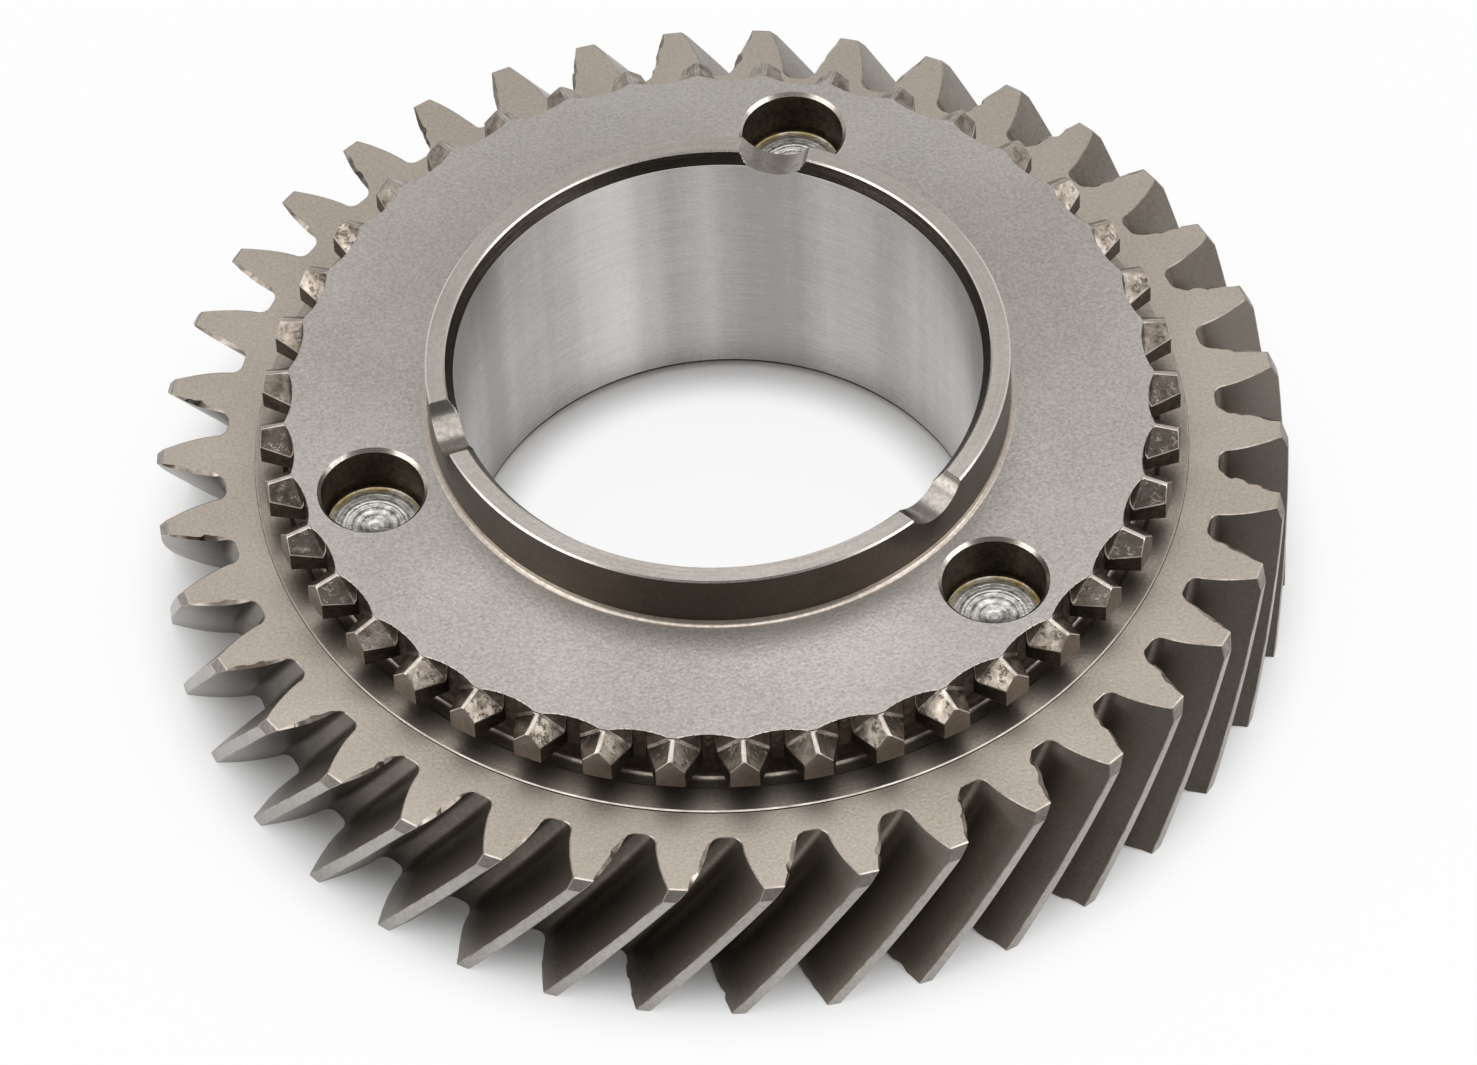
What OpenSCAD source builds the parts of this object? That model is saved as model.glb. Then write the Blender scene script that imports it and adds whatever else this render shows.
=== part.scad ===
// Transmission gear: one machined piece with a helical rim, a ring of pointed clutch teeth and a bored hub.
// The bore axis is Z, the flat back face lies on z = 0 and the hub side faces up.

/* [Helical rim] */
// Number of helical teeth round the rim
tooth_count = 38; // [34:1:42]
// Width of the rim from the back face to the rim face
rim_h = 33; // [28:0.5:38]
// Diameter of the pitch circle
pitch_d = 181.6; // [181:0.1:183]
// Diameter over the tooth tips
tip_d = 194.4; // [191:0.2:196]
// Diameter at the bottom of the tooth gaps
root_d = 170.5; // [169.5:0.1:171.5]
// Helix angle at the pitch circle, right-hand
helix_angle = 33.2; // [10:0.2:36]
// Pressure angle of the flanks, square to the axis
pressure_angle = 18.2; // [17:0.1:19]
// Radius of the round at the foot of each flank
root_round_r = 1.9; // [1:0.1:2.2]
// Angle from +X to the middle of one tooth on the rim face
tooth_phase = 8; // [0:0.1:9.4]
// Radial width of the tip chamfer on the rim face side
tip_chamfer_w = 1.1; // [0.5:0.1:2]
// Height of the tip chamfer on the rim face side
tip_chamfer_h = 2.1; // [1:0.1:3.5]
// Width of the broken edge along each sharp flank edge
edge_break_w = 0.7; // [0.2:0.1:1.2]
// Height of the broken edge along each sharp flank edge
edge_break_h = 1.2; // [0.6:0.1:2]

/* [Rim face] */
// Outer diameter of the raised ring inside the tooth gaps
land_d = 160.3; // [158.5:0.1:164]
// Height of the raised ring above the rim face
land_h = 0.4; // [0.2:0.1:0.8]
// Diameter where the raised ring drops into the groove
groove_d = 150.6; // [149:0.2:153]
// Depth of the groove floor below the rim face
groove_depth = 0.5; // [0.2:0.1:3]
// Diameter of the neck under the clutch teeth
neck_d = 143.6; // [141:0.2:144.4]
// Radius of the round at the foot of the neck
neck_round_r = 1.2; // [0.6:0.1:2]

/* [Clutch teeth] */
// Number of clutch teeth
dog_count = 40; // [36:1:42]
// Angle from +X to the ridge of one clutch tooth
dog_phase = 1; // [0:0.1:8.9]
// Diameter over the clutch teeth
dog_d = 157.4; // [156:0.2:158.4]
// Height of the clutch teeth underside above the rim face
dog_foot_h = 5.2; // [3:0.2:6]
// Diameter at which the ridges start
ridge_start_d = 148.8; // [148:0.2:150]
// Depth of the ridge start below the hub face
ridge_drop = 0.3; // [0.2:0.05:0.6]
// Width of the narrow turned flat along each ridge
ridge_flat_w = 0.6; // [0.4:0.1:1]
// Angle at which each ridge falls away outwards
ridge_fall = 11.3; // [6:0.1:14]
// Slope of the two roof faces down from the ridge
roof_slope = 43; // [38:0.5:46]
// Width of a clutch tooth at its outer wall
dog_outer_w = 4.9; // [4.2:0.1:5.6]
// Width of a clutch tooth at the ridge start
dog_inner_w = 8.2; // [7.6:0.1:8.6]
// Radial depth of the bevel across the tooth ends
dog_bevel_w = 0.56; // [0.2:0.02:1]
// Height of the outer wall above the clutch teeth underside
dog_wall_h = 3.8; // [3:0.1:4.4]
// Radius of the cutter run-out behind each roof face
runout_r = 6; // [4:0.5:9]
// Depth of the cutter run-out into the hub edge
runout_depth = 1.5; // [1:0.1:1.6]

/* [Hub and collar] */
// Height of the hub face above the rim face
hub_h = 12.2; // [11.4:0.1:13.5]
// Diameter of the hub face where it meets the ridges
hub_face_d = 148.2; // [147.6:0.1:148.4]
// Diameter of the bore
bore_d = 90; // [84:0.5:91]
// Diameter of the collar outside
collar_d = 99.4; // [98:0.2:101]
// Height of the collar above the hub face
collar_h = 11.1; // [9:0.1:14]
// Diameter of the collar mouth on its top face
mouth_d = 92.6; // [92:0.1:95]
// Height of the taper between the collar mouth and the bore
mouth_h = 2.2; // [1:0.1:3]
// Width of the small bevels on the collar top edges
collar_bevel = 0.3; // [0.1:0.1:0.6]
// Radius of the round at the foot of the collar
collar_round_r = 1; // [0.5:0.1:1.4]
// Width of the bevel at the back end of the bore
back_bevel = 2; // [0.5:0.1:3]

/* [Holes and notches] */
// Number of blind holes, each with a notch in line with it
station_count = 3; // [2:1:6]
// Angle from +X to the first blind hole
station_phase = 76.1; // [0:0.1:119.9]
// Diameter of the circle through the hole centres
hole_circle_d = 123.6; // [122:0.2:124]
// Diameter of the blind holes
hole_d = 17.6; // [14:0.1:17.8]
// Depth of the blind holes below the hub face
hole_depth = 9.5; // [6:0.1:14]
// Width of the bevel round the mouth of each hole
hole_bevel = 0.6; // [0.2:0.1:0.8]
// Radius of the round between the wall and the floor of each hole
hole_round_r = 1.2; // [0.5:0.1:2]
// Diameter of the shallow dimple in the floor of each hole
dimple_d = 3; // [2:0.1:5]
// Depth of the dimple
dimple_depth = 0.6; // [0.2:0.1:1]
// Radius of the round notches in the collar top
notch_r = 6.6; // [5:0.1:8]
// Depth of the notches below the collar top
notch_depth = 3.7; // [2:0.1:4.8]

/* [Hidden] */

$fa = 3;
$fs = 0.4;

// Cutters pass the surfaces they open by this much
clear = 1;
hub_z = rim_h + hub_h;
top_z = hub_z + collar_h;
bore_r = bore_d / 2;
collar_r = collar_d / 2;
mouth_r = mouth_d / 2;
land_r = land_d / 2;
groove_r = groove_d / 2;
neck_r = neck_d / 2;
dog_r = dog_d / 2;
hub_face_r = hub_face_d / 2;

// Helical rim
root_r = root_d / 2;
tip_r = tip_d / 2;
base_r = pitch_d / 2 * cos(pressure_angle);
// The solid body reaches halfway up to the gap bottoms, and the rim starts inside it
body_r = (land_r + root_r) / 2 + 0.8;
rim_inner_r = body_r - 1.6;
// Turn of a tooth for each millimetre along the axis
turn_rate = tan(helix_angle) / (pitch_d / 2) * 180 / PI;
rim_slices = 4;
round_steps = 3;
flank_steps = 4;

// Clutch teeth
dog_pitch = 360 / dog_count;
ridge_r = ridge_start_d / 2;
ridge_z = hub_z - ridge_drop;
dog_foot_z = rim_h + dog_foot_h;
wall_z = dog_foot_z + dog_wall_h;
// Radius at which the bevel across the tooth ends meets the cone of the ridges
bevel_slope = dog_bevel_w / (hub_z - wall_z);
bevel_r = (dog_r - bevel_slope * (ridge_z + ridge_r * tan(ridge_fall) - wall_z))
    / (1 - bevel_slope * tan(ridge_fall));
// The flanks narrow outwards by this much a side for each millimetre
flank_taper = (dog_inner_w - dog_outer_w) / 2 / (dog_r - ridge_r);
// The roof cutter is long enough to clear the flank at the hub
roof_reach = (dog_inner_w / 2 + 1) / cos(roof_slope);
roof_clear_h = 4.5;

// Height of the cone of the ridges at radius r
function cone_z(r) = ridge_z - (r - ridge_r) * tan(ridge_fall);

// Angle between the involute at radius r and its start on the base circle
function involute_turn(r) =
    let (a = acos(base_r / r))
    tan(a) * 180 / PI - a;

// Half the angle of a tooth at radius r, with tooth and gap equal on the pitch circle
function half_angle(r) = 90 / tooth_count + involute_turn(pitch_d / 2) - involute_turn(r);

// Point [radius, angle] on the round between the gap bottom and the flank, t from 0 to 1
function round_point(t) =
    let (
        centre_r = root_r + root_round_r,
        foot_angle = half_angle(centre_r),
        centre_angle = foot_angle + asin(root_round_r / centre_r),
        along = centre_r - root_round_r * cos(90 * t),
        across = -root_round_r * sin(90 * t)
    )
    [norm([along, across]), centre_angle + atan2(across, along)];

// One side of a tooth from the gap bottom to the tip, as [radius, angle from the middle]
function tooth_side() =
    let (start_r = root_r + root_round_r)
    [
        for (i = [0:round_steps]) round_point(i / round_steps),
        for (i = [1:flank_steps])
            let (r = start_r + (tip_r - start_r) * i / flank_steps)
            [r, half_angle(r)]
    ];

// Points of one tooth at height z: both sides, then the gap corner on the inner ring
function tooth_points(index, z, break_low, break_high) =
    let (
        side = tooth_side(),
        n = len(side),
        middle = tooth_phase + 360 * index / tooth_count + turn_rate * (z - rim_h),
        gap = middle + 180 / tooth_count
    )
    [
        for (p = side)
            let (a = middle - p[1] + break_low / p[0] * 180 / PI)
            [p[0] * cos(a), p[0] * sin(a), z],
        for (i = [n - 1:-1:0])
            let (p = side[i], a = middle + p[1] - break_high / p[0] * 180 / PI)
            [p[0] * cos(a), p[0] * sin(a), z],
        [rim_inner_r * cos(gap), rim_inner_r * sin(gap), z]
    ];

// Heights of the slices, with the edge breaks between the end pairs
slice_z = [
    0,
    for (i = [0:rim_slices]) edge_break_h + (rim_h - 2 * edge_break_h) * i / rim_slices,
    rim_h
];

// Faces of an end of the rim: tooth quads, their roots and the gap webs
function end_faces(first, n, flip) =
    let (
        faces = [
            for (k = [0:tooth_count - 1])
                let (
                    a = first + k * (2 * n + 1),
                    before = first + ((k + tooth_count - 1) % tooth_count) * (2 * n + 1) + 2 * n,
                    after = first + ((k + 1) % tooth_count) * (2 * n + 1)
                )
                each [
                    for (i = [0:n - 2]) [a + i, a + i + 1, a + 2 * n - 2 - i, a + 2 * n - 1 - i],
                    [before, a, a + 2 * n - 1, a + 2 * n],
                    [a + 2 * n, a + 2 * n - 1, after]
                ]
        ]
    )
    flip ? [for (f = faces) [for (i = [len(f) - 1:-1:0]) f[i]]] : faces;

module rim_teeth() {
    n = len(tooth_side());
    ring = tooth_count * (2 * n + 1);
    last = len(slice_z) - 1;
    points = [
        for (s = [0:last])
            for (k = [0:tooth_count - 1])
                each tooth_points(
                    k, slice_z[s],
                    s == 0 ? edge_break_w : 0,
                    s == last ? edge_break_w : 0
                )
    ];
    outer = [
        for (s = [0:last - 1])
            for (k = [0:tooth_count - 1])
                for (i = [0:2 * n - 1])
                    let (
                        a = s * ring + k * (2 * n + 1) + i,
                        b = i < 2 * n - 1 ? a + 1 : s * ring + ((k + 1) % tooth_count) * (2 * n + 1)
                    )
                    each [[a, a + ring, b], [b, a + ring, b + ring]]
    ];
    inner = [
        for (s = [0:last - 1])
            for (k = [0:tooth_count - 1])
                let (
                    a = s * ring + k * (2 * n + 1) + 2 * n,
                    b = s * ring + ((k + 1) % tooth_count) * (2 * n + 1) + 2 * n
                )
                each [[a, b, a + ring], [b, b + ring, a + ring]]
    ];
    difference() {
        polyhedron(
            points = points,
            faces = concat(outer, inner, end_faces(0, n, false), end_faces(last * ring, n, true))
        );
        // Bevel across the tips, run past the rim face and the tip circle by half its size
        over_w = tip_chamfer_w / 2;
        over_h = tip_chamfer_h / 2;
        rotate_extrude()
            polygon([
                [tip_r + over_w, rim_h - tip_chamfer_h - over_h],
                [tip_r + over_w, rim_h + over_h],
                [tip_r - tip_chamfer_w - over_w, rim_h + over_h]
            ]);
    }
}

// Turned body: back face, rim face rings, neck, clutch ring, hub face and collar
module turned_body() {
    floor_z = rim_h - groove_depth;
    step = land_h + groove_depth;
    rotate_extrude() {
        polygon([
            [bore_r + back_bevel, 0],
            [body_r, 0],
            [body_r, rim_h],
            [land_r, rim_h],
            [land_r - land_h, rim_h + land_h],
            [groove_r, rim_h + land_h],
            [groove_r - step, floor_z],
            [neck_r, floor_z],
            [neck_r, dog_foot_z],
            [dog_r, dog_foot_z],
            [dog_r, wall_z],
            [bevel_r, cone_z(bevel_r)],
            [hub_face_r, cone_z(hub_face_r)],
            [hub_face_r, hub_z],
            [collar_r, hub_z],
            [collar_r, top_z - collar_bevel],
            [collar_r - collar_bevel, top_z],
            [mouth_r + collar_bevel, top_z],
            [mouth_r, top_z - collar_bevel],
            [bore_r, top_z - mouth_h],
            [bore_r, back_bevel]
        ]);
        foot_round(neck_r, floor_z, neck_round_r);
        foot_round(collar_r, hub_z, collar_round_r);
    }
}

// Hollow round in the corner between a wall at radius r and a floor at height z
module foot_round(r, z, round_r) {
    difference() {
        translate([r - clear, z - round_r / 2])
            square([clear + round_r, round_r * 1.5]);
        translate([r + round_r, z + round_r])
            circle(r = round_r);
    }
}

// Space above one roof face, with the round run-out that the cutter leaves in the hub edge
module roof_cut() {
    runout_x = runout_r - runout_depth;
    translate([ridge_r, 0, ridge_z + ridge_flat_w / 2 * tan(roof_slope)])
        rotate([0, ridge_fall, 0])
            rotate([-roof_slope, 0, 0])
                translate([0, roof_reach, 0])
                    rotate([90, 0, 0])
                        linear_extrude(height = roof_reach + clear) {
                            square([dog_r + 2 * clear - ridge_r, roof_clear_h]);
                            intersection() {
                                translate([runout_x, sqrt(runout_r ^ 2 - runout_x ^ 2)])
                                    circle(r = runout_r);
                                translate([-runout_depth - clear, 0])
                                    square([runout_depth + 2 * clear, roof_clear_h]);
                            }
                        }
}

// Everything milled away between two neighbouring ridges
module dog_gap() {
    roof_cut();
    rotate(dog_pitch) mirror([0, 1, 0]) roof_cut();
    // Plan of the gap between the two flanks, from the root wall outwards
    inner_x = ridge_r - runout_depth;
    outer_x = dog_r + clear;
    inner_y = dog_inner_w / 2 + flank_taper * (ridge_r - inner_x);
    outer_y = dog_inner_w / 2 + flank_taper * (ridge_r - outer_x);
    side = [[inner_x, inner_y], [outer_x, outer_y]];
    far_side = [for (p = side) [
        p[0] * cos(dog_pitch) + p[1] * sin(dog_pitch),
        p[0] * sin(dog_pitch) - p[1] * cos(dog_pitch)
    ]];
    translate([0, 0, dog_foot_z - clear])
        linear_extrude(height = hub_h - dog_foot_h + 2 * clear)
            polygon([side[0], side[1], far_side[1], far_side[0]]);
}

module blind_hole() {
    straight_d = hole_depth - hole_round_r;
    translate([hole_circle_d / 2, 0, hub_z]) {
        translate([0, 0, -straight_d])
            cylinder(d = hole_d, h = straight_d + clear);
        translate([0, 0, -hole_bevel])
            cylinder(d1 = hole_d, d2 = hole_d + 2 * (hole_bevel + clear), h = hole_bevel + clear);
        translate([0, 0, -straight_d])
            rotate_extrude() {
                translate([0, -hole_round_r])
                    square([hole_d / 2 - hole_round_r, hole_round_r + clear]);
                intersection() {
                    translate([hole_d / 2 - hole_round_r, 0])
                        circle(r = hole_round_r);
                    translate([0, -hole_round_r])
                        square([hole_d / 2, hole_round_r]);
                }
            }
        translate([0, 0, -hole_depth - dimple_depth])
            cylinder(d1 = 0, d2 = dimple_d, h = dimple_depth);
    }
}

module collar_notch() {
    translate([0, 0, top_z + notch_r - notch_depth])
        rotate([0, 90, 0])
            cylinder(r = notch_r, h = collar_r + clear);
}

module gear() {
    color([0.62, 0.59, 0.56]) {
        difference() {
            turned_body();
            for (i = [0:dog_count - 1])
                rotate(dog_phase + i * dog_pitch)
                    dog_gap();
            for (i = [0:station_count - 1])
                rotate(station_phase + i * 360 / station_count) {
                    blind_hole();
                    collar_notch();
                }
        }
        rim_teeth();
    }
}

gear();
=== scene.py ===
"""Looks of a transmission gear.

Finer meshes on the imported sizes, machined-steel materials, floor, lamps, studio world and camera.
"""
import math
import random

import bmesh
import bpy
from mathutils import Matrix, Vector


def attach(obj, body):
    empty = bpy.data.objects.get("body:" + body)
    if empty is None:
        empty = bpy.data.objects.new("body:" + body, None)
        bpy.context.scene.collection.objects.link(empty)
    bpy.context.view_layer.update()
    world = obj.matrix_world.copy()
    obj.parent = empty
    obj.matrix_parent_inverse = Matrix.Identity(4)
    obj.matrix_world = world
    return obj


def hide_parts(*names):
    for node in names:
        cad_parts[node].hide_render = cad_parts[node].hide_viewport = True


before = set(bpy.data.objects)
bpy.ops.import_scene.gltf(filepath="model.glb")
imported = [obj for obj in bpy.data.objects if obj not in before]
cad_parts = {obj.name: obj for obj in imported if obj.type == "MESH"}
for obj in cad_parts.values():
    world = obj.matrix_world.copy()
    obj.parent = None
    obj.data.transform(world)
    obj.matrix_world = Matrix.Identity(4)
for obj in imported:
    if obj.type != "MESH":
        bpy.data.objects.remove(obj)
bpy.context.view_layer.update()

MM = 0.001

# ---- sizes in millimetres, as in the part's source

# Helical rim
TOOTH_COUNT = 38
RIM_H = 33.0
PITCH_R = 90.8
TIP_R = 97.19
ROOT_R = 85.25
HELIX = math.radians(33.2)
PRESSURE = math.radians(18.2)
ROOT_ROUND_R = 1.9
TOOTH_PHASE = math.radians(8.0)
TIP_CHAMFER_W = 1.1
TIP_CHAMFER_H = 2.1

# Raised ring, groove and neck
LAND_R = 80.15
LAND_H = 0.4
GROOVE_R = 75.3
GROOVE_DEPTH = 0.5
NECK_R = 71.8
NECK_ROUND_R = 1.2

# Clutch teeth, called dogs
DOG_COUNT = 40
DOG_PHASE = math.radians(1.0)
DOG_R = 78.7
DOG_FOOT_Z = RIM_H + 5.2
DOG_WALL_Z = DOG_FOOT_Z + 3.8
DOG_OUTER_W = 4.9
DOG_INNER_W = 8.2
DOG_BEVEL_W = 0.56
RIDGE_R = 74.4
RIDGE_DROP = 0.3
RIDGE_FLAT_W = 0.6
RIDGE_FALL = math.radians(11.3)
ROOF_SLOPE = math.radians(43.0)
RUNOUT_R = 6.0
RUNOUT_DEPTH = 1.5
HUB_FACE_R = 74.1

# Hub, collar and bore
HUB_Z = RIM_H + 12.2
BORE_R = 45.0
COLLAR_R = 49.7
TOP_Z = HUB_Z + 11.1
MOUTH_R = 46.3
MOUTH_H = 2.2
COLLAR_BEVEL = 0.3
COLLAR_ROUND_R = 1.0
BACK_BEVEL = 2.0

# Blind holes and collar notches
STATIONS = [math.radians(76.1 + 120.0 * i) for i in range(3)]
HOLE_CIRCLE_R = 61.8
HOLE_R = 8.8
HOLE_DEPTH = 9.5
HOLE_BEVEL = 0.6
HOLE_ROUND_R = 1.2
DIMPLE_R = 1.5
DIMPLE_DEPTH = 0.6
NOTCH_R = 6.6
NOTCH_DEPTH = 3.7

# Worked out from these
BASE_R = PITCH_R * math.cos(PRESSURE)
TURN_RATE = math.tan(HELIX) / PITCH_R
RIDGE_Z = HUB_Z - RIDGE_DROP
HALF_CELL = math.pi / DOG_COUNT
NOTCH_HALF_W = math.sqrt(NOTCH_R ** 2 - (NOTCH_R - NOTCH_DEPTH) ** 2)

# ---- details that are too fine for the solids, in millimetres

EDGE_W = 0.13
TIP_EDGE_W = 0.14
LAND_BREAK = (0.26, 0.09)
# Strip at the raised ring's foot, dark as a painted contact shadow
LINE_FOOT_W = 0.08
LINE_FOOT_H = 0.26
# Width of the light line on the raised ring's edge, a painted highlight
LINE_W = 0.26
MOUTH_EDGE_H = 0.12
MOUTH_BAND_H = 2.0
# Dark band at the bore's foot, a painted contact shadow
BORE_FOOT_SHADE_H = 0.45

# Broken edge on the sharp side of a helical tooth; a share runs from 0 at the gap bottom to 1 at the tip
FACET_COUNT = 5
FACET_W = (0.5, 1.0)
FACET_SLOPE = (0.25, 0.75)
CHIP_SHARE = (0.45, 0.75)
CHIP_W = (0.2, 0.6)
CHIP_SPREAD = 0.06
BREAK_START = 0.2
BREAK_START_TAPER = 0.12
BREAK_END = 1.04
BREAK_END_TAPER = 0.16
TOOTH_SEED = 1000

# Broken edges of a clutch tooth: which edges they are, and how flat they lie along the hub face
DOG_EDGE_W = 0.12
CRISP_DEGREES = 25
HUB_EDGE_DROP = 0.2
HUB_EDGE_R = HUB_FACE_R + 0.05
HUB_EDGE_SHARE = 0.35

# Cutters of the clutch cell
CLEAR = 1.0
ROOF_CUT_REACH = 2.0
ROOF_CUT_H = 4.5
CELL_WELD = 0.03
SEAM_ANGLE = 0.00001
SEAM_R = 0.02

# ---- fineness of the meshes

ROUND_STEPS = 6
FLANK_STEPS = 14
LAND_STEPS = 4
SIDE_POINTS = ROUND_STEPS + 1 + FLANK_STEPS
TOOTH_POINTS = 2 * SIDE_POINTS + LAND_STEPS + 1 + 1
RIM_ROWS = 20
BEVEL_ROWS = (0.25, 0.5, 0.75, 1.0)
ARCS_PER_TOOTH = 20
FOOT_STEPS = 6
CELL_ARCS = 9
RUNOUT_STEPS = 14
NOTCH_STEPS = 28
NOTCH_MARGIN = 1.0
NOTCH_LIP = 0.15
TURN_STEPS = 120
MOUTH_STEPS = 8
WALL_STEPS = 12
HOLE_STEPS = 96
HOLE_ROUND_STEPS = 5
SEAM_DEGREES = 9.0


def linear(rgb):
    """An sRGB colour from 0 to 255 as the linear values that a shader takes."""
    return [((c / 255 + 0.055) / 1.055) ** 2.4 if c > 10 else c / 255 / 12.92 for c in rgb]


def polar(r, a, z):
    return (r * math.cos(a), r * math.sin(a), z)


# ---- materials

class Graph:
    """Small helper to write a node tree in few lines."""

    def __init__(self, material):
        material.use_nodes = True
        self.tree = material.node_tree
        self.shader = self.tree.nodes["Principled BSDF"]
        self.place = self.node("ShaderNodeTexCoord").outputs["Object"]

    def node(self, kind, **settings):
        made = self.tree.nodes.new(kind)
        for key, value in settings.items():
            setattr(made, key, value)
        return made

    def link(self, source, target):
        self.tree.links.new(source, target)

    def put(self, socket, value):
        if isinstance(value, bpy.types.NodeSocket):
            self.link(value, socket)
        else:
            socket.default_value = value

    def math(self, operation, a, b=0.0):
        n = self.node("ShaderNodeMath", operation=operation)
        self.put(n.inputs[0], a)
        self.put(n.inputs[1], b)
        return n.outputs[0]

    def blend(self, a, b, share):
        """Weighted mean of two values, share being the weight of the second."""
        return self.math("ADD", self.math("MULTIPLY", a, 1.0 - share), self.math("MULTIPLY", b, share))

    def radius(self, centre=(0.0, 0.0)):
        """Distance from an upright axis, in metres."""
        parts = self.node("ShaderNodeSeparateXYZ")
        self.link(self.place, parts.inputs[0])
        x = self.math("SUBTRACT", parts.outputs[0], centre[0])
        y = self.math("SUBTRACT", parts.outputs[1], centre[1])
        square = self.math("ADD", self.math("MULTIPLY", x, x), self.math("MULTIPLY", y, y))
        return self.math("SQRT", square)

    def turned(self, along, across):
        """Noise that runs round the axis: slow along the circle, fast in radius and height, with no seam."""
        parts = self.node("ShaderNodeSeparateXYZ")
        self.link(self.place, parts.inputs[0])
        r = self.radius()
        joined = self.node("ShaderNodeCombineXYZ")
        for i in (0, 1):
            turn = self.math("DIVIDE", parts.outputs[i], r)
            self.link(self.math("MULTIPLY", turn, along), joined.inputs[i])
        self.link(self.math("MULTIPLY", parts.outputs[2], across), joined.inputs[2])
        n = self.node("ShaderNodeTexNoise", noise_dimensions="4D")
        n.inputs["Scale"].default_value = 1.0
        n.inputs["Roughness"].default_value = 0.7
        self.link(joined.outputs[0], n.inputs["Vector"])
        self.link(self.math("MULTIPLY", r, across), n.inputs["W"])
        return n.outputs["Fac"]

    def noise(self, scale, detail=3.0, roughness=0.55, upright=False, turn=0.0):
        """Even noise, or noise that is the same all the way up, turned round the axis."""
        n = self.node("ShaderNodeTexNoise")
        n.inputs["Scale"].default_value = scale
        n.inputs["Detail"].default_value = detail
        n.inputs["Roughness"].default_value = roughness
        source = self.place
        if upright:
            mapping = self.node("ShaderNodeMapping")
            mapping.inputs["Scale"].default_value = (1.0, 1.0, 0.0)
            mapping.inputs["Rotation"].default_value = (0.0, 0.0, turn)
            self.link(source, mapping.inputs[0])
            source = mapping.outputs[0]
        self.link(source, n.inputs["Vector"])
        return n.outputs["Fac"]

    def ramp(self, value, low, high, out_low=0.0, out_high=1.0, kind="LINEAR"):
        """The value carried from the range low to high over to out_low to out_high, and held there."""
        n = self.node("ShaderNodeMapRange", clamp=True, interpolation_type=kind)
        self.put(n.inputs["Value"], value)
        n.inputs["From Min"].default_value = low
        n.inputs["From Max"].default_value = high
        n.inputs["To Min"].default_value = out_low
        n.inputs["To Max"].default_value = out_high
        return n.outputs[0]

    def mix(self, factor, a, b):
        """Colour a at factor 0 and colour b at factor 1."""
        n = self.node("ShaderNodeMix", data_type="RGBA")
        self.put(n.inputs[0], factor)
        for socket, value in ((n.inputs[6], a), (n.inputs[7], b)):
            self.put(socket, value if isinstance(value, bpy.types.NodeSocket) else (*value, 1.0))
        return n.outputs[2]

    def bump(self, height, distance, under=None):
        n = self.node("ShaderNodeBump")
        n.inputs["Strength"].default_value = 1.0
        n.inputs["Distance"].default_value = distance
        self.link(height, n.inputs["Height"])
        if under is not None:
            self.link(under, n.inputs["Normal"])
        return n.outputs[0]


# Noise values between which a surface goes from its rough to its smooth end
SHEEN_RANGE = (0.3, 0.7)
# Share of the painted sheen stripes in a surface's tone and roughness
SHEEN_BAND_SHARE = 0.7
PIT_RANGE = (0.55, 0.66)
PIT_SHARE = 0.5
PIT_SHADE = 0.45
PIT_DEPTH = 0.00007


def steel(name, dark, light, roughness, metallic=1.0, grain=1400.0, clouds=45.0, fine_share=0.5,
          contrast=0.12, grain_depth=0.00003, lines=None, line_depth=0.00002, line_share=0.25,
          spread=0.08, sheen_bands=None, pits=None):
    """Machined steel: cloudy and grainy colour between dark and light, with fine relief.

    lines adds cutting lines, sheen_bands adds upright light and dark stripes as a painted sheen,
    and pits adds small hollows. Noise scales are per metre, depths in metres.
    """
    material = bpy.data.materials.new(name)
    g = Graph(material)
    cloud = g.noise(clouds, 4.0)
    fine = g.noise(grain, 3.0, 0.65)
    shade = g.blend(cloud, fine, fine_share)
    if lines:
        cuts = g.turned(*lines)
        shade = g.blend(shade, cuts, line_share)
    if sheen_bands:
        sheen_band = g.noise(sheen_bands[0], 3.0, 0.5, upright=True, turn=math.radians(sheen_bands[1]))
        shade = g.blend(shade, sheen_band, SHEEN_BAND_SHARE)
    tone = g.mix(g.ramp(shade, 0.5 - contrast, 0.5 + contrast), linear(dark), linear(light))
    if pits:
        hollow = g.ramp(g.noise(pits, 4.0, 0.7), *PIT_RANGE)
        tone = g.mix(g.math("MULTIPLY", hollow, PIT_SHARE), tone, linear([PIT_SHADE * c for c in dark]))
    g.link(tone, g.shader.inputs["Base Color"])
    g.shader.inputs["Metallic"].default_value = metallic
    sheen = g.ramp(shade, *SHEEN_RANGE, roughness + spread, roughness - spread)
    g.link(sheen, g.shader.inputs["Roughness"])
    normal = g.bump(fine, grain_depth)
    if lines:
        normal = g.bump(cuts, line_depth, under=normal)
    if pits:
        normal = g.bump(g.math("SUBTRACT", 1.0, hollow), PIT_DEPTH, under=normal)
    g.link(normal, g.shader.inputs["Normal"])
    return material


# Noise scales of cutting lines, along the circle and across it
TURNED = (3.0, 2600.0)
HONED = (4.0, 4200.0)
UPRIGHT = (2200.0, 12.0)

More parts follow.
